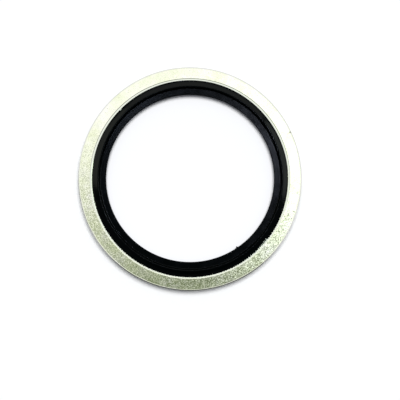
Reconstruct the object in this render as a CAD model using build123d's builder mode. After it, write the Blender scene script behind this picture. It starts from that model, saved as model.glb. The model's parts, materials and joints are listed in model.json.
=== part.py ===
from build123d import *
import os

os.makedirs("parts", exist_ok=True)

# Bonded sealing washer of the self-centring type, for a 45 mm thread: a flat steel ring with a
# rubber seal moulded and bonded into its bore. The seal is alike on both sides. It has a lip that
# stands proud of the steel, and inside the lip a thin web that holds the washer on the thread.
# Millimetres. +Z is the washer's axis, and the origin lies on it at half the thickness.

# Thread that the washer seals
thread_diameter = 45.0

# Radial widths, from the thread outwards
lip_clearance = 0.35  # thread to the foot of the lip
flank_width = 0.25  # steep inner flank of the lip
crest_width = 0.3  # top of the lip, between its two corners
slope_width = 1.35  # outer slope of the lip, down to the steel
ring_width = 3.5  # steel ring, from its bore to its outer edge
web_width = 1.65  # web, inwards from the foot of the lip

# Thicknesses and heights
ring_thickness = 3.0
lip_height = 0.45  # crest of the lip above the face of the steel
web_thickness = 0.8

# Edges of the steel ring, rounded by tumbling before it is plated
bore_edge_width = 0.7
bore_edge_depth = 0.27
outer_edge_radius = 0.4

# Edges of the moulded rubber
web_edge_radius = 0.15
lip_foot_radius = 0.2
crest_edge_radius = 0.1

# Radii and heights that the two pieces share
lip_radius = thread_diameter / 2 + lip_clearance
crest_inner_radius = lip_radius + flank_width
crest_outer_radius = crest_inner_radius + crest_width
ring_bore_radius = crest_outer_radius + slope_width
hole_radius = lip_radius - web_width
ring_outer_radius = ring_bore_radius + ring_width
face_height = ring_thickness / 2
bond_height = face_height - bore_edge_depth
crest_height = face_height + lip_height

# Steel ring, blanked from strip: the upper half of its section is drawn and mirrored. The edge
# of the bore is an arc that leaves the face smoothly and stops where the rubber begins.
with BuildPart() as metal_ring:
    with BuildSketch(Plane.XZ) as ring_section:
        with BuildLine() as ring_outline:
            ring_rim = FilletPolyline(
                (ring_outer_radius, 0),
                (ring_outer_radius, face_height),
                (ring_bore_radius + bore_edge_width, face_height),
                radius=outer_edge_radius,
            )
            bore_edge = TangentArc(ring_rim @ 1, (ring_bore_radius, bond_height), tangent=(-1, 0))
            Polyline(bore_edge @ 1, (ring_bore_radius, 0), ring_rim @ 0)
        make_face()
        mirror(about=Plane.XZ)
    revolve(axis=Axis.Z)
metal_ring.part.label = "metal_ring"
export_step(metal_ring.part, "parts/metal_ring.step")

# Rubber seal, one moulding that fills the ring's bore as far as its rounded edges
with BuildPart() as rubber_seal:
    with BuildSketch(Plane.XZ) as seal_section:
        with BuildLine() as seal_outline:
            seal_skin = FilletPolyline(
                (hole_radius, 0),
                (hole_radius, web_thickness / 2),
                (lip_radius, web_thickness / 2),
                (crest_inner_radius, crest_height),
                (crest_outer_radius, crest_height),
                (ring_bore_radius, bond_height),
                radius=[web_edge_radius, lip_foot_radius, crest_edge_radius, crest_edge_radius],
            )
            Polyline(seal_skin @ 1, (ring_bore_radius, 0), seal_skin @ 0)
        make_face()
        mirror(about=Plane.XZ)
    revolve(axis=Axis.Z)
rubber_seal.part.label = "rubber_seal"
export_step(rubber_seal.part, "parts/rubber_seal.step")

print(f"outer diameter {2 * ring_outer_radius:.2f}, ring bore {2 * ring_bore_radius:.2f}")
print(f"lip diameter {2 * lip_radius:.2f}, hole diameter {2 * hole_radius:.2f}")
print(f"thickness over the lips {2 * crest_height:.2f}")
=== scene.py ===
import json
import math

import bpy
import numpy as np
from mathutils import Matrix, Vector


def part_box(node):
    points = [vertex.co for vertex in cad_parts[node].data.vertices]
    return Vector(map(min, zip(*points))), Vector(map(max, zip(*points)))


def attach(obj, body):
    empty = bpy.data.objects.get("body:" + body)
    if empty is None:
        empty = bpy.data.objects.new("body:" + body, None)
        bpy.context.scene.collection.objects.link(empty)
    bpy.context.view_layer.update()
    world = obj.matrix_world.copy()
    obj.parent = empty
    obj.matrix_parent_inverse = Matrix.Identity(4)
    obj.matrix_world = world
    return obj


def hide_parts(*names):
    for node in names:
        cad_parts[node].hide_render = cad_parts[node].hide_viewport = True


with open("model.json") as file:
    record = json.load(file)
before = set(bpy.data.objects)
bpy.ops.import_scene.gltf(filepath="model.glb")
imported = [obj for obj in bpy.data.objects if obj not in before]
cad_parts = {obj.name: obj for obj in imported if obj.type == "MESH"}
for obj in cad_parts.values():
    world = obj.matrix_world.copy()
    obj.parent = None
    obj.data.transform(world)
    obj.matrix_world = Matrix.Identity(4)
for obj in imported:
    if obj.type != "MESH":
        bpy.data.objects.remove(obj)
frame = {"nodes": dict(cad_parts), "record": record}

# Bonded sealing washer: a zinc-plated steel ring with a black rubber seal moulded into its bore.
# All sizes below are in millimetres and become metres only when a mesh is made.
# Places around the washer are clock angles: 0 is +Y, 90 is +X, seen from above.

mm = 0.001
sharpAngle = 40.0    # edges that turn by more than this are left sharp
slack = 0.001        # room for rounding where two heights are compared
scene = bpy.context.scene
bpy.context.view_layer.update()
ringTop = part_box("metal_ring")[1] / mm
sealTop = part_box("rubber_seal")[1] / mm
mounts = {mount["name"]: mount for mount in frame["record"]["mounts"]}

outerRadius = ringTop.x
faceHeight = ringTop.z
boreRadius = sealTop.x
crestHeight = sealTop.z
holeRadius = mounts["thread_hole"]["dims"]["r_mm"]
print("frame loaded:", ", ".join(sorted(frame["nodes"])))


# Colours and nodes

noiseSpan = {"From Min": 0.3, "From Max": 0.7}    # most values of a noise texture lie between these


def toLinear(hexColour):
    # each sRGB channel c becomes c / 12.92 below 0.04045 and ((c + 0.055) / 1.055) ** 2.4 above it
    channels = [int(hexColour[i:i + 2], 16) / 255 for i in (1, 3, 5)]
    return [c / 12.92 if c <= 0.04045 else ((c + 0.055) / 1.055) ** 2.4 for c in channels] + [1.0]


def addNode(tree, kind, settings=None, links=None):
    # settings go to the node's properties or else to its input sockets, links to its input sockets
    node = tree.nodes.new(kind)
    for key, value in (settings or {}).items():
        if isinstance(key, str) and hasattr(node, key):
            setattr(node, key, value)
        else:
            node.inputs[key].default_value = value
    for key, source in (links or {}).items():
        tree.links.new(source, node.inputs[key])
    return node


def newMaterial(name):
    material = bpy.data.materials.new(name)
    material.use_nodes = True
    material.node_tree.nodes.clear()
    return material, material.node_tree


def pointInMm(tree):
    # the place on the object in millimetres, so that all patterns are scaled in millimetres too
    place = addNode(tree, "ShaderNodeTexCoord")
    inMm = addNode(tree, "ShaderNodeMapping", {"Scale": (1 / mm,) * 3}, {"Vector": place.outputs["Object"]})
    return inMm.outputs["Vector"]


# Shapes

def around(cuts):
    # the angles from +X and the clock angles of the same places, both as columns
    angle = np.linspace(0, 2 * math.pi, cuts, endpoint=False)[:, None]
    return angle, (90 - np.degrees(angle)) % 360


def evenly(steps):
    # the places between the ends of a straight side that cut it into equal steps
    return np.linspace(0, 1, steps + 1)[1:-1]


def roundedLoop(corners, radii, arcSteps, sideCuts):
    # A closed profile in (r, z). Each corner becomes an arc tangent to both of its sides, with its
    # centre on their bisector at radius / sin(half angle). sideCuts places points on the straight
    # side that follows each corner, from 0 at its start to 1 at its end.
    corners = np.array(corners, float)
    arcs = []
    for i, corner in enumerate(corners):
        toLast = corners[i - 1] - corner
        toNext = corners[(i + 1) % len(corners)] - corner
        toLast /= np.linalg.norm(toLast)
        toNext /= np.linalg.norm(toNext)
        half = 0.5 * math.acos(float(np.clip(toLast @ toNext, -1, 1)))
        if radii[i] == 0:
            arcs.append(corner[None, :])
            continue
        reach = radii[i] / math.tan(half)
        bisector = (toLast + toNext) / np.linalg.norm(toLast + toNext)
        centre = corner + bisector * radii[i] / math.sin(half)
        turn = math.pi - 2 * half
        t = np.linspace(0, 1, arcSteps[i] + 1)[:, None]
        fromStart = np.sin((1 - t) * turn) / math.sin(turn) * (corner + toLast * reach - centre)
        fromEnd = np.sin(t * turn) / math.sin(turn) * (corner + toNext * reach - centre)
        arcs.append(centre + fromStart + fromEnd)
    loop = []
    for i, arc in enumerate(arcs):
        following = arcs[(i + 1) % len(arcs)][0]
        loop += [arc, arc[-1] + np.reshape(sideCuts[i], (-1, 1)) * (following - arc[-1])]
    return np.vstack(loop)


def ripple(angle, counts, seed):
    # sum of cosines cos(n * angle + phase) over the whole numbers n in counts, with random phases
    # from the seed, divided by the root of half their number so that its spread is about 1
    phases = np.random.default_rng(seed).uniform(0, 2 * math.pi, len(counts))
    waves = np.cos(np.asarray(counts)[:, None] * np.ravel(angle)[None, :] + phases[:, None])
    return (waves.sum(0) / math.sqrt(len(counts) / 2)).reshape(np.shape(angle))


def hump(distance, width):
    # bell curve exp(-(distance / width) ** 2), 1 at its middle
    return np.exp(-(distance / width) ** 2)


def ramp(value, start, stop):
    # 0 below start and 1 above stop, with the smooth step 3 t^2 - 2 t^3 between them
    t = np.clip((value - start) / (stop - start), 0, 1)
    return t * t * (3 - 2 * t)


def arcDistance(clock, place, radius):
    # length along a circle of that radius from the clock angle place, the short way round
    return np.radians((clock - place + 180) % 360 - 180) * radius


def facing(clock, place):
    # cosine of the angle between two clock angles: 1 at place and -1 on the opposite side. Radii
    # that grow by shift * facing make a circle that is off centre by shift towards place.
    return np.cos(np.radians(clock - place))


def addRevolved(name, r, z, angle, attributes=None):
    # r and z are grids over (angle, profile); a point is (r cos a, r sin a, z). Both directions
    # close on themselves, so the surface is a ring with no seam, edge or pole.
    count, rings = r.shape
    points = np.stack([r * np.cos(angle), r * np.sin(angle), z], axis=-1) * mm
    index = np.arange(count * rings).reshape(count, rings)
    ahead = np.roll(index, -1, axis=0)
    quads = np.stack([index, ahead, np.roll(ahead, -1, axis=1), np.roll(index, -1, axis=1)], axis=-1)
    mesh = bpy.data.meshes.new(name)
    mesh.vertices.add(count * rings)
    mesh.vertices.foreach_set("co", points.astype(np.float32).ravel())
    mesh.loops.add(quads.size)
    mesh.loops.foreach_set("vertex_index", quads.astype(np.int32).ravel())
    mesh.polygons.add(quads.size // 4)
    mesh.polygons.foreach_set("loop_start", np.arange(0, quads.size, 4, dtype=np.int32))
    mesh.polygons.foreach_set("use_smooth", np.ones(quads.size // 4, bool))
    mesh.update(calc_edges=True)
    mesh.validate()
    mesh.set_sharp_from_angle(angle=math.radians(sharpAngle))
    for key, values in (attributes or {}).items():
        layer = mesh.attributes.new(key, "FLOAT", "POINT")
        layer.data.foreach_set("value", values.astype(np.float32).ravel())
    piece = bpy.data.objects.new(name, mesh)
    scene.collection.objects.link(piece)
    print(f"{name}: {count * rings} points, {2 * quads.size // 4} triangles")
    return piece


# Steel ring

steelRing = {
    # edge of the bore: the face curves into a shallow bevel, which is steeper just at the rubber.
    # The widths are measured outwards from the bore, the depths down from the face.
    "bevelWidth": 0.5,
    "bevelDepth": 0.27,
    "bevelRadius": 0.4,
    "footWidth": 0.1,
    "footDepth": 0.165,
    "footRadius": 0.05,
    # The bevel is off centre towards clock 0 by shift. Counted outwards from the bore, that is
    # reached at full, begins to fade at fadeFrom and is gone at fadeTo.
    "offCentre": {"shift": 0.11, "full": 0.35, "fadeFrom": 1.0, "fadeTo": 2.5},
    # outer edge, worn down by tumbling
    "edgeWidth": 0.28,
    "edgeDepth": 0.18,
    "edgeRadius": 0.4,
    "edgeFootRadius": 0.06,
    # a nick in it: how far it cuts in and down, its half width, and how far it reaches each way
    "nick": {"clock": 65.0, "depth": 0.2, "drop": 0.12, "width": 0.16, "inwards": 0.3, "downwards": 0.45},
    "cuts": 1440,            # points around
    # slow unevenness of the two faces: its height, and how many waves go around
    "faceWave": 0.001,
    "faceWaves": range(2, 9),
    # the blanked side is smooth above a wavy border and broken and slightly sunk below it
    "shear": {"height": 0.35, "wave": 0.06, "waves": range(5, 40), "softness": 0.03},
    "broken": {"depth": 0.03, "rough": 0.01, "waves": range(60, 400, 7), "slant": 0.004},
    # how close to the side or to a face a point lies that belongs to it
    "sideReach": 0.02,
    "faceReach": 0.01,
}


def boreEdgeHeight(r, look):
    # height of the steel at r, along the two straight lines of the bevel
    places = [boreRadius, boreRadius + look["footWidth"], boreRadius + look["bevelWidth"]]
    drops = [look["bevelDepth"], look["footDepth"], 0]
    return faceHeight - np.interp(r, places, drops)


def buildSteelRing(look):
    angle, clock = around(look["cuts"])
    upper = [
        (outerRadius, faceHeight - look["edgeDepth"]),
        (outerRadius - look["edgeWidth"], faceHeight),
        (boreRadius + look["bevelWidth"], faceHeight),
        (boreRadius + look["footWidth"], faceHeight - look["footDepth"]),
        (boreRadius, faceHeight - look["bevelDepth"]),
    ]
    upperRadii = [look["edgeFootRadius"], look["edgeRadius"], look["bevelRadius"], look["footRadius"], 0]
    upperArcs = [4, 6, 6, 1, 0]
    # close to both of its ends the face gets a cut, which keeps its shading flat as far as there
    faceCuts = [0.02, 0.25, 0.5, 0.75, 0.98]
    profile = roundedLoop(
        upper + [(radius, -height) for radius, height in upper[::-1]],
        radii=upperRadii + upperRadii[::-1],
        arcSteps=upperArcs + upperArcs[::-1],
        sideCuts=[evenly(2), faceCuts, evenly(2), [], [], [], evenly(2), faceCuts, evenly(2), evenly(8)],
    )
    r, z = np.repeat(profile.T[:, None, :], look["cuts"], axis=1)
    # the bevel's upper edge is fully off centre, and this fades out on both sides of it
    offCentre = look["offCentre"]
    moved = ramp(r, boreRadius, boreRadius + offCentre["full"])
    moved = moved - ramp(r, boreRadius + offCentre["fadeFrom"], boreRadius + offCentre["fadeTo"])
    r = r + offCentre["shift"] * facing(clock, 0) * moved
    # the broken part of the side is sunk by depth + rough * ripple; below goes from 0 above the
    # border to 1 under it, as 1 / (1 + exp((z - border) / softness))
    shear = look["shear"]
    broken = look["broken"]
    side = ramp(r, outerRadius - look["sideReach"], outerRadius)
    border = shear["height"] + shear["wave"] * ripple(angle, shear["waves"], seed=3)
    below = 1 / (1 + np.exp((z - border) / shear["softness"]))
    tears = ripple(angle + broken["slant"] * z, broken["waves"], seed=4)
    r = r - side * below * (broken["depth"] + broken["rough"] * tears)
    # slow unevenness of the two faces, from the press
    flat = ramp(np.abs(z), faceHeight - look["faceReach"], faceHeight)
    z = z + flat * look["faceWave"] * ripple(angle, look["faceWaves"], seed=5)
    nick = look["nick"]
    cut = hump(arcDistance(clock, nick["clock"], outerRadius), nick["width"])
    cut = cut * hump(outerRadius - r, nick["inwards"]) * hump(z - faceHeight, nick["downwards"])
    r = r - nick["depth"] * cut
    z = z - nick["drop"] * cut
    return addRevolved("steelRing", r, z, angle)


def ringBand(tree, point, band):
    # 1 while |distance from the band's own centre - radius| is below flat, and 0 from half on
    centred = addNode(tree, "ShaderNodeMapping", {"Location": (0, -band["shift"], 0), "Scale": (1, 1, 0)},
                      {"Vector": point})
    radius = addNode(tree, "ShaderNodeVectorMath", {"operation": "LENGTH"}, {0: centred.outputs["Vector"]})
    offset = addNode(tree, "ShaderNodeMath", {"operation": "SUBTRACT", 1: band["radius"]},
                     {0: radius.outputs["Value"]})
    away = addNode(tree, "ShaderNodeMath", {"operation": "ABSOLUTE"}, {0: offset.outputs["Value"]})
    return addNode(tree, "ShaderNodeMapRange",
                   {"interpolation_type": "SMOOTHSTEP", "From Min": band["half"], "From Max": band["flat"]},
                   {"Value": away.outputs["Value"]})


def zincPlate():
    # Bright zinc electroplate over tumbled steel, passivated. It gives the eye a pale, faintly
    # yellow-green metal with a fine pebbled grain, soft blotches, and greyer, worn edges.
    look = {
        # colours of the blotches, between two values of the noise that draws them
        "tints": ["#E8F1C7", "#F0F7D5", "#F5F9E2"],
        "tintFrom": 0.35,
        "tintTo": 0.65,
        "blotch": 5.0,        # width of the widest blotches; finer ones lie in them
        "pebble": 0.16,       # width of one pebble; real ones are about 0.1
        "pebbleTilt": 0.035,  # slope between its two extremes
        "pebbleShade": 0.12,  # how much darker the dullest pebble is than the brightest one
        "roughness": 0.075,
        "cloudy": 0.012,      # how much the roughness changes from blotch to blotch, up and down
        "pits": {"spacing": 1.0, "radius": 0.13, "colour": "#AEB29C"},
        # bands around the axis, all in millimetres: the bevel of the bore, rubbed paler,
        "bevel": {"radius": 24.9, "flat": 0.22, "half": 0.42, "shift": 0.11, "colour": "#EAF2D6"},
        # a fine dark line of painted shade along the bevel's upper edge, which fades out towards clock 180,
        "line": {"radius": 25.27, "flat": 0.0, "half": 0.115, "shift": 0.11, "colour": "#38342A",
                 "fadeFrom": -20.0, "fadeTo": 20.0},
        # and the two outer edges, greyer where tumbling wore them. The wear fades out at a depth
        # below the face and changes in patches from least to full, between two values of their noise.
        "wear": {"radius": 28.25, "flat": 0.15, "half": 0.3, "shift": 0.0, "colour": "#E0E2D2",
                 "depth": 0.3, "fade": 0.15, "roughness": 0.06,
                 "patch": 1.2, "patchFrom": 0.45, "patchTo": 0.6, "least": 0.7},
        # a darker spot in the nick of the outer edge
        "dirt": {"clock": 65.0, "radius": 27.98, "depth": 0.08, "half": 0.36, "colour": "#4E4E46"},
    }
    material, tree = newMaterial("zincPlatePassivatedOverTumbledSteel")
    point = pointInMm(tree)
    blotch = addNode(tree, "ShaderNodeTexNoise",
                     {"Scale": 1 / look["blotch"], "Detail": 6.0, "Roughness": 0.7}, {"Vector": point})
    tint = addNode(tree, "ShaderNodeValToRGB", {}, {"Fac": blotch.outputs["Fac"]})
    stops = tint.color_ramp.elements
    positions = np.linspace(look["tintFrom"], look["tintTo"], len(look["tints"]))
    for i, colour in enumerate(look["tints"]):
        stop = stops[i] if i < 2 else stops.new(1.0)    # a new ramp has two stops of its own
        stop.position = positions[i]
        stop.color = toLinear(colour)
    # every pebble has three random numbers: all of them lean it later on, the third also shades it
    pebble = addNode(tree, "ShaderNodeTexVoronoi", {"Scale": 1 / look["pebble"]}, {"Vector": point})
    drawn = addNode(tree, "ShaderNodeSeparateXYZ", {}, {"Vector": pebble.outputs["Color"]})
    shade = addNode(tree, "ShaderNodeMapRange", {"To Min": 1 - look["pebbleShade"]},
                    {"Value": drawn.outputs["Z"]})
    # pits lie where the nearest of many scattered points is closer than a pit's radius
    pits = look["pits"]
    scattered = addNode(tree, "ShaderNodeTexVoronoi", {"Scale": 1 / pits["spacing"]}, {"Vector": point})
    inPit = addNode(tree, "ShaderNodeMapRange",
                    {"interpolation_type": "SMOOTHSTEP",
                     "From Min": pits["radius"] / pits["spacing"], "From Max": 0.0},
                    {"Value": scattered.outputs["Distance"]})
    # painted shade: a dark line along the bevel's upper edge, strong on the north side and gone towards
    # clock 180
    line = look["line"]
    along = addNode(tree, "ShaderNodeSeparateXYZ", {}, {"Vector": point})
    unfaded = addNode(tree, "ShaderNodeMapRange",
                      {"interpolation_type": "SMOOTHSTEP",
                       "From Min": line["fadeFrom"], "From Max": line["fadeTo"]},
                      {"Value": along.outputs["Y"]})
    onPaintedShadeLine = addNode(tree, "ShaderNodeMath", {"operation": "MULTIPLY"},
                     {0: ringBand(tree, point, line).outputs["Result"], 1: unfaded.outputs["Result"]})
    wear = look["wear"]
    patches = addNode(tree, "ShaderNodeTexNoise", {"Scale": 1 / wear["patch"], "Detail": 2.0},
                      {"Vector": point})
    patched = addNode(tree, "ShaderNodeMapRange",
                      {"From Min": wear["patchFrom"], "From Max": wear["patchTo"], "To Min": wear["least"]},
                      {"Value": patches.outputs["Fac"]})
    height = addNode(tree, "ShaderNodeMath", {"operation": "ABSOLUTE"}, {0: along.outputs["Z"]})
    wornDownTo = faceHeight - wear["depth"]
    nearFace = addNode(tree, "ShaderNodeMapRange",
                       {"interpolation_type": "SMOOTHSTEP",
                        "From Min": wornDownTo - wear["fade"], "From Max": wornDownTo},
                       {"Value": height.outputs["Value"]})
    onEdges = addNode(tree, "ShaderNodeMath", {"operation": "MULTIPLY"},
                      {0: ringBand(tree, point, wear).outputs["Result"], 1: nearFace.outputs["Result"]})
    worn = addNode(tree, "ShaderNodeMath", {"operation": "MULTIPLY"},
                   {0: onEdges.outputs["Value"], 1: patched.outputs["Result"]})
    # a darker colour painted on a small spot in the nick of the outer edge
    dirt = look["dirt"]
    turn = math.radians(dirt["clock"])
    spot = (dirt["radius"] * math.sin(turn), dirt["radius"] * math.cos(turn), faceHeight - dirt["depth"])
    fromSpot = addNode(tree, "ShaderNodeVectorMath", {"operation": "DISTANCE", 1: spot}, {0: point})
    inSpot = addNode(tree, "ShaderNodeMapRange",
                     {"interpolation_type": "SMOOTHSTEP", "From Min": dirt["half"], "From Max": 0.0},
                     {"Value": fromSpot.outputs["Value"]})
    # each layer covers the ones before it as far as its mask says
    layers = [
        (inPit.outputs["Result"], pits["colour"]),
        (ringBand(tree, point, look["bevel"]).outputs["Result"], look["bevel"]["colour"]),
        (onPaintedShadeLine.outputs["Value"], line["colour"]),
        (worn.outputs["Value"], wear["colour"]),
        (inSpot.outputs["Result"], dirt["colour"]),
    ]
    seen = addNode(tree, "ShaderNodeMixRGB", {"blend_type": "MULTIPLY", "Fac": 1.0},
                   {"Color1": tint.outputs["Color"], "Color2": shade.outputs["Result"]})
    for mask, colour in layers:
        seen = addNode(tree, "ShaderNodeMixRGB", {"Color2": toLinear(colour)},
                       {"Fac": mask, "Color1": seen.outputs["Color"]})
    polished = addNode(tree, "ShaderNodeMapRange",
                       {**noiseSpan,
                        "To Min": look["roughness"] - look["cloudy"],
                        "To Max": look["roughness"] + look["cloudy"]},
                       {"Value": blotch.outputs["Fac"]})
    rough = addNode(tree, "ShaderNodeMath", {"operation": "MULTIPLY_ADD", 1: wear["roughness"]},
                    {0: worn.outputs["Value"], 2: polished.outputs["Result"]})
    # each pebble leans its own way: normal + (random - 0.5) * tilt, made a unit vector again
    lean = addNode(tree, "ShaderNodeVectorMath", {"operation": "SUBTRACT", 1: (0.5,) * 3},
                   {0: pebble.outputs["Color"]})
    surface = addNode(tree, "ShaderNodeNewGeometry")
    tilt = (look["pebbleTilt"],) * 3
    leaning = addNode(tree, "ShaderNodeVectorMath", {"operation": "MULTIPLY_ADD", 1: tilt},
                      {0: lean.outputs["Vector"], 2: surface.outputs["Normal"]})
    normal = addNode(tree, "ShaderNodeVectorMath", {"operation": "NORMALIZE"},
                     {0: leaning.outputs["Vector"]})
    shader = addNode(tree, "ShaderNodeBsdfPrincipled", {"Metallic": 1.0},
                     {"Base Color": seen.outputs["Color"], "Roughness": rough.outputs["Value"],
                      "Normal": normal.outputs["Vector"]})
    addNode(tree, "ShaderNodeOutputMaterial", {}, {"Surface": shader.outputs["BSDF"]})
    return material


ring = buildSteelRing(steelRing)
ring.data.materials.append(zincPlate())
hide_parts("metal_ring")
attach(ring, "root")


# Rubber seal

rubberSeal = {
    "webHalf": 0.4,          # half the thickness of the web
    "webTaper": 0.08,        # width over which it thins down to its edge
    "webEdgeHalf": 0.2,      # half its thickness there
    "webEdge": 0.05,         # radius of the edge's rounding
    # the hole is a little off centre and oval: how far, and which way. This fades out from fadeFrom
    # outside the hole to fadeTo inside the lip's foot.
    "hole": {"shift": 0.15, "clock": 10.0, "oval": 0.06, "ovalClock": 80.0, "fadeFrom": 0.3, "fadeTo": 0.5},
    # the lip is off centre too. This sets in from webFrom to webTo inside its foot, and fades out
    # from slopeFrom outside its crest to slopeTo inside the bore.
    "lip": {"shift": 0.16, "clock": 38.0, "webFrom": 0.6, "webTo": 0.15, "slopeFrom": 0.3, "slopeTo": 0.2},
    "footRadius": 22.87,     # foot of the lip's inner flank
    "footFillet": 0.1,
    "crestInner": 23.15,
    "crestOuter": 23.42,
    "crestInnerEdge": 0.12,
    "crestOuterEdge": 0.35,
    "cuts": 1440,
    # flash: the thin edge of rubber that creeps up the steel's bevel
    "creep": 0.02,           # how far it reaches everywhere
    "creepNorth": 0.18,      # how much further at clock 0
    "creepSouth": 0.14,      # and at clock 180, where its edge is torn
    "creepLeast": 0.005,
    "creepTeeth": 0.011,     # fine teeth of its edge everywhere
    "creepTornTeeth": 0.11,  # and how much longer they are at clock 180
    "creepWaves": range(180, 420, 11),
    "creepCurve": 6,         # the higher, the later the slope turns up onto the steel
    "creepLift": 0.012,      # its thickness
    # a nib of flash on the hole's edge: how far it sticks out, and its half widths around, up and in
    "nib": {"clock": 145.5, "reach": 0.42, "width": 0.2, "height": 0.2, "root": 0.2},
    # where the flash was torn off: how far the grey tear reaches inwards, by clock angle. Its inner
    # edge has teeth, as a share of that depth, and turns from clean to bare over a short way.
    "tear": {
        "clocks": [126.8, 128.0, 134.0, 138.0, 148.0, 156.0],
        "depths": [0.0, 0.36, 0.24, 0.17, 0.1, 0.0],
        "teeth": 0.35,
        "waves": range(150, 380, 13),
        "clean": -0.02,
        "bare": 0.03,
    },
    # single grey bits: clock angle, radius, half length along the edge, half width
    "bareBits": [
        {"clock": 315.0, "radius": 24.74, "length": 0.35, "width": 0.17},
        {"clock": 315.9, "radius": 24.28, "length": 0.10, "width": 0.10},
    ],
}


def buildRubberSeal(look, steel):
    angle, clock = around(look["cuts"])
    bondHeight = faceHeight - steel["bevelDepth"]
    # the cuts of the slope get closer towards the bore, where it turns up onto the steel
    slopeCuts = np.array([0.25, 0.5, 0.68, 0.8, 0.87, 0.92, 0.96, 0.985])
    upper = [
        (holeRadius, look["webEdgeHalf"]),
        (holeRadius + look["webTaper"], look["webHalf"]),
        (look["footRadius"], look["webHalf"]),
        (look["crestInner"], crestHeight),
        (look["crestOuter"], crestHeight),
        (boreRadius, bondHeight),
    ]
    radii = [look["webEdge"], look["webEdge"], look["footFillet"],
             look["crestInnerEdge"], look["crestOuterEdge"], 0]
    # on both sides the web has cuts close to its ends, which keep its shading flat as far as there
    profile = roundedLoop(
        upper[::-1] + [(radius, -height) for radius, height in upper],
        radii=radii[::-1] + radii,
        arcSteps=[0, 3, 5, 4, 2, 3] + [3, 2, 3, 4, 2, 0],
        sideCuts=[1 - slopeCuts[::-1], [], evenly(3), [0.03, 0.5, 0.97], [], evenly(3),
                  [], [0.03, 0.97], evenly(2), [], [0.4, 0.8, 0.95], [0.02, 0.98]],
    )
    r, z = np.repeat(profile.T[:, None, :], look["cuts"], axis=1)
    # the slope's last part is drawn outwards by the creep and curves up onto the steel's bevel
    north = np.clip(facing(clock, 0), 0, 1)
    south = np.clip(facing(clock, 180), 0, 1)
    teeth = look["creepTeeth"] + south * look["creepTornTeeth"]
    teeth = teeth * ripple(angle, look["creepWaves"], seed=12)
    creep = look["creep"] + north ** 2 * look["creepNorth"] + south * look["creepSouth"] + teeth
    creep = np.clip(creep, look["creepLeast"], steel["bevelWidth"] / 2)
    along = (r - look["crestOuter"]) / (boreRadius - look["crestOuter"])
    onSlope = (along > 0) & (np.abs(z) > bondHeight - slack)
    pull = np.where(onSlope, np.clip(along, 0, 1) ** look["creepCurve"], 0)
    rise = boreEdgeHeight(boreRadius + creep, steel) + look["creepLift"] - bondHeight
    r = r + pull * creep
    z = z + np.sign(z) * pull * rise
    # how bare the rubber is: inside the tear, whose inner edge has teeth too, and on the single bits
    tear = look["tear"]
    depth = np.interp(clock, tear["clocks"], tear["depths"])
    depth = depth * (1 + tear["teeth"] * ripple(angle, tear["waves"], seed=14))
    fromEdge = boreRadius + creep - r
    bare = ramp(depth - fromEdge, tear["clean"], tear["bare"]) * (depth > 0)
    for bit in look["bareBits"]:
        alongEdge = hump(arcDistance(clock, bit["clock"], bit["radius"]), bit["length"])
        bare = np.maximum(bare, alongEdge * hump(r - bit["radius"], bit["width"]))
    bare = bare * onSlope * (z > 0)
    # the lip is off centre, which fades out on the web and towards the bore
    lip = look["lip"]
    onLip = ramp(r, look["footRadius"] - lip["webFrom"], look["footRadius"] - lip["webTo"])
    onLip = onLip - ramp(r, look["crestOuter"] + lip["slopeFrom"], boreRadius - lip["slopeTo"])
    r = r + lip["shift"] * facing(clock, lip["clock"]) * onLip
    # the hole's edge: a nib of flash, and the whole edge off centre, and oval by twice the angle
    nib = look["nib"]
    out = hump(arcDistance(clock, nib["clock"], holeRadius), nib["width"])
    out = out * hump(z, nib["height"]) * hump(r - holeRadius, nib["root"])
    r = r - nib["reach"] * out
    hole = look["hole"]
    onEdge = 1 - ramp(r, holeRadius + hole["fadeFrom"], look["footRadius"] - hole["fadeTo"])
    offset = hole["shift"] * facing(clock, hole["clock"])
    offset = offset + hole["oval"] * facing(2 * clock, 2 * hole["ovalClock"])
    r = r + offset * onEdge
    return addRevolved("rubberSeal", r, z, angle, {"bare": bare})


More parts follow.
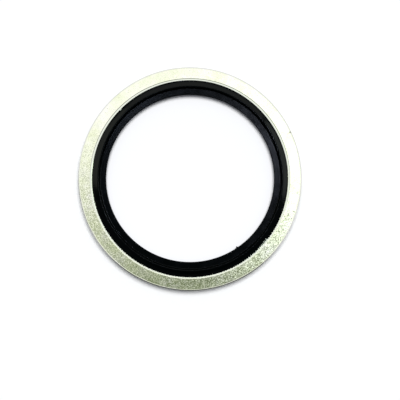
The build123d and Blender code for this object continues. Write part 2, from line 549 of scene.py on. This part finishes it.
def nitrileRubber():
    # Black nitrile rubber, compression moulded and left as it came from the mould. It gives the eye
    # a deep black with a soft, slightly cloudy sheen, and a few dusty grey bits where its edge tore.
    look = {
        "colour": "#010303",
        "gloss": 0.015,       # low, because the strong lamps that light it alone make its sheen
        "roughness": 0.12,
        "cloudy": 0.03,       # how much the roughness changes from cloud to cloud, up and down
        "cloud": 2.5,         # width of a cloud in the sheen
        "skin": 0.3,          # width and height of the mould's fine unevenness
        "skinHeight": 0.0015,
        # dust on the bare bits: from none to full between two values of bare - dustBreak * skin
        "dust": "#A8B0A4",
        "dustBreak": 0.5,
        "dustFrom": 0.1,
        "dustTo": 0.6,
    }
    material, tree = newMaterial("nitrileRubberAsMoulded")
    point = pointInMm(tree)
    cloud = addNode(tree, "ShaderNodeTexNoise", {"Scale": 1 / look["cloud"], "Detail": 3.0},
                    {"Vector": point})
    skin = addNode(tree, "ShaderNodeTexNoise", {"Scale": 1 / look["skin"], "Detail": 2.0},
                   {"Vector": point})
    rough = addNode(tree, "ShaderNodeMapRange",
                    {**noiseSpan,
                     "To Min": look["roughness"] - look["cloudy"],
                     "To Max": look["roughness"] + look["cloudy"]},
                    {"Value": cloud.outputs["Fac"]})
    bump = addNode(tree, "ShaderNodeBump", {"Distance": look["skinHeight"] * mm},
                   {"Height": skin.outputs["Fac"]})
    bare = addNode(tree, "ShaderNodeAttribute", {"attribute_name": "bare"})
    torn = addNode(tree, "ShaderNodeMath", {"operation": "MULTIPLY_ADD", 1: -look["dustBreak"]},
                   {0: skin.outputs["Fac"], 2: bare.outputs["Fac"]})
    dusty = addNode(tree, "ShaderNodeMapRange",
                    {"From Min": look["dustFrom"], "From Max": look["dustTo"]},
                    {"Value": torn.outputs["Value"]})
    colour = addNode(tree, "ShaderNodeMixRGB",
                     {"Color1": toLinear(look["colour"]), "Color2": toLinear(look["dust"])},
                     {"Fac": dusty.outputs["Result"]})
    shader = addNode(tree, "ShaderNodeBsdfPrincipled", {"Specular IOR Level": look["gloss"]},
                     {"Base Color": colour.outputs["Color"], "Roughness": rough.outputs["Result"],
                      "Normal": bump.outputs["Normal"]})
    addNode(tree, "ShaderNodeOutputMaterial", {}, {"Surface": shader.outputs["BSDF"]})
    return material


seal = buildRubberSeal(rubberSeal, steelRing)
seal.data.materials.append(nitrileRubber())
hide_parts("rubber_seal")
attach(seal, "root")


# Floor, light and camera

studio = {
    "floorHalf": 400.0,
    "floorColour": "#F8F8F8",
    "floorGlow": 0.04,        # what the camera sees on top of the lit colour, so the floor is white
    "key": {"clock": 12.0, "tilt": 14.0, "size": 25.0, "strength": 2.7, "colour": "#FFFFFF"},
    # lamps for the rubber alone, which is too dark to show its form in the key light; they only
    # make its sheen
    "sealLamps": [
        {"clock": 57.0, "tilt": 5.6, "size": 2.0, "strength": 0.74, "colour": "#DEE6FF"},
        {"clock": 322.0, "tilt": 5.5, "size": 2.0, "strength": 0.135, "colour": "#D0E0FF"},
        {"clock": 5.0, "tilt": 64.0, "size": 80.0, "strength": 11.5, "colour": "#FAFCF6"},
        {"clock": 76.0, "tilt": 64.0, "size": 44.0, "strength": 7.6, "colour": "#F0FAF2"},
        {"clock": 292.0, "tilt": 64.0, "size": 48.0, "strength": 6.6, "colour": "#FAFFF0"},
    ],
    # Two skies, one that lights what is matt and one that polished things mirror. Each is a dim room
    # with round patches, which have a direction, as clock angle and degrees from straight above,
    # and fade between two radii in degrees. Later patches cover the ones before them.
    "mattSky": [
        {"colour": "#F6F8FF", "level": 0.05},
        {"clock": 15.0, "tilt": 45.0, "inner": 10.0, "outer": 100.0, "colour": "#E4ECFF", "level": 0.4},
    ],
    "mirroredSky": [
        {"colour": "#F2F4FF", "level": 0.04},
        # light from three sides of the room, by far the widest from clock 0, and the ceiling
        {"clock": 100.0, "tilt": 80.0, "inner": 20.0, "outer": 45.0, "colour": "#F1EEFF", "level": 0.76},
        {"clock": 0.0, "tilt": 50.0, "inner": 92.0, "outer": 104.0, "colour": "#F1EEFF", "level": 1.15},
        {"clock": 250.0, "tilt": 80.0, "inner": 14.0, "outer": 31.0, "colour": "#F1EEFF", "level": 0.6},
        {"clock": 30.0, "tilt": 5.0, "inner": 14.0, "outer": 30.0, "colour": "#F4F0FF", "level": 1.33},
        # brighter and dimmer places of the ceiling, which the flat faces mirror
        {"clock": 80.0, "tilt": 3.9, "inner": 1.6, "outer": 5.0, "colour": "#EDEFFC", "level": 1.95},
        {"clock": 255.0, "tilt": 5.2, "inner": 0.6, "outer": 2.8, "colour": "#FCFFF4", "level": 0.58},
        {"clock": 180.0, "tilt": 5.8, "inner": 0.3, "outer": 7.0, "colour": "#EAFFC8", "level": 0.17},
    ],
}


def direction(clock, tilt):
    # unit vector tilted from +Z by tilt degrees towards a clock angle
    return (
        math.sin(math.radians(tilt)) * math.sin(math.radians(clock)),
        math.sin(math.radians(tilt)) * math.cos(math.radians(clock)),
        math.cos(math.radians(tilt)),
    )


def buildFloor(look):
    half = look["floorHalf"] * mm
    level = -crestHeight * mm
    mesh = bpy.data.meshes.new("floor")
    corners = [(-half, -half, level), (half, -half, level), (half, half, level), (-half, half, level)]
    mesh.from_pydata(corners, [], [(0, 1, 2, 3)])
    floor = bpy.data.objects.new("floor", mesh)
    scene.collection.objects.link(floor)
    material, tree = newMaterial("whitePaper")
    path = addNode(tree, "ShaderNodeLightPath")
    glow = addNode(tree, "ShaderNodeMath", {"operation": "MULTIPLY", 1: look["floorGlow"]},
                   {0: path.outputs["Is Camera Ray"]})
    lit = addNode(tree, "ShaderNodeBsdfDiffuse", {"Color": toLinear(look["floorColour"])})
    own = addNode(tree, "ShaderNodeEmission", {}, {"Strength": glow.outputs["Value"]})
    both = addNode(tree, "ShaderNodeAddShader", {},
                   {0: lit.outputs["BSDF"], 1: own.outputs["Emission"]})
    addNode(tree, "ShaderNodeOutputMaterial", {}, {"Surface": both.outputs["Shader"]})
    mesh.materials.append(material)


def patchedSky(tree, place, look):
    # a patch covers what lies around its direction, by the cosine of the angle from there
    room, *patches = look
    sky = addNode(tree, "ShaderNodeBackground",
                  {"Color": toLinear(room["colour"]), "Strength": room["level"]})
    for patch in patches:
        towards = addNode(tree, "ShaderNodeVectorMath",
                          {"operation": "DOT_PRODUCT", 1: direction(patch["clock"], patch["tilt"])},
                          {0: place.outputs["Generated"]})
        inside = addNode(tree, "ShaderNodeMapRange",
                         {"interpolation_type": "SMOOTHSTEP",
                          "From Min": math.cos(math.radians(patch["outer"])),
                          "From Max": math.cos(math.radians(patch["inner"]))},
                         {"Value": towards.outputs["Value"]})
        panel = addNode(tree, "ShaderNodeBackground",
                        {"Color": toLinear(patch["colour"]), "Strength": patch["level"]})
        sky = addNode(tree, "ShaderNodeMixShader", {},
                      {0: inside.outputs["Result"], 1: sky.outputs[0], 2: panel.outputs[0]})
    return sky


def buildWorld(look):
    # White to the camera, one sky for what it sees mirrored, and the other for all else. A
    # reflection that first met something matt, so with a diffuse depth above 0, counts as all else.
    world = bpy.data.worlds.new("studio")
    world.use_nodes = True
    world.cycles.sampling_method = "NONE"
    scene.world = world
    tree = world.node_tree
    tree.nodes.clear()
    path = addNode(tree, "ShaderNodeLightPath")
    place = addNode(tree, "ShaderNodeTexCoord")
    matt = patchedSky(tree, place, look["mattSky"])
    mirrored = patchedSky(tree, place, look["mirroredSky"])
    unscattered = addNode(tree, "ShaderNodeMath", {"operation": "LESS_THAN", 1: 0.5},
                          {0: path.outputs["Diffuse Depth"]})
    isMirrored = addNode(tree, "ShaderNodeMath", {"operation": "MULTIPLY"},
                         {0: path.outputs["Is Glossy Ray"], 1: unscattered.outputs["Value"]})
    lighting = addNode(tree, "ShaderNodeMixShader", {},
                       {0: isMirrored.outputs["Value"], 1: matt.outputs[0], 2: mirrored.outputs[0]})
    white = addNode(tree, "ShaderNodeBackground", {"Color": toLinear("#FFFFFF"), "Strength": 1.0})
    seen = addNode(tree, "ShaderNodeMixShader", {},
                   {0: path.outputs["Is Camera Ray"], 1: lighting.outputs[0], 2: white.outputs[0]})
    addNode(tree, "ShaderNodeOutputWorld", {}, {"Surface": seen.outputs[0]})


def addLamp(name, look):
    # a soft, distant lamp; size is how many degrees it is across
    lamp = bpy.data.lights.new(name, "SUN")
    lamp.energy = look["strength"]
    lamp.angle = math.radians(look["size"])
    lamp.color = toLinear(look["colour"])[:3]
    holder = bpy.data.objects.new(name, lamp)
    scene.collection.objects.link(holder)
    holder.rotation_euler = (-math.radians(look["tilt"]), 0, -math.radians(look["clock"]))
    return holder


def buildLamps(look, seal):
    # reflections leave the key lamp out, because the ceiling already stands for it there
    key = addLamp("keyLamp", look["key"])
    key.visible_glossy = False
    onSeal = bpy.data.collections.new("litBySealLamps")
    onSeal.objects.link(seal)
    for i, sealLamp in enumerate(look["sealLamps"]):
        holder = addLamp(f"sealLamp{i + 1}", sealLamp)
        holder.visible_diffuse = False
        holder.light_linking.receiver_collection = onSeal


buildFloor(studio)
buildWorld(studio)
buildLamps(studio, seal)
print("floor and light ready")

cameraView = {
    "lens": 150.0,
    "nearest": 10.0,          # nothing closer to the lens is seen
    "frameWidth": 101.0,      # what the picture takes in at the height of the ring's face
    "centre": (2.54, -5.30),  # the picture's middle, from the washer's axis
}


def buildCamera(look):
    lens = bpy.data.cameras.new("camera")
    lens.lens = look["lens"]
    lens.clip_start = look["nearest"] * mm
    camera = bpy.data.objects.new("camera", lens)
    scene.collection.objects.link(camera)
    distance = look["frameWidth"] * look["lens"] / lens.sensor_width
    x, y = look["centre"]
    camera.location = (x * mm, y * mm, (faceHeight + distance) * mm)
    scene.camera = camera


buildCamera(cameraView)
scene.view_settings.view_transform = "Standard"

print("all pieces made")
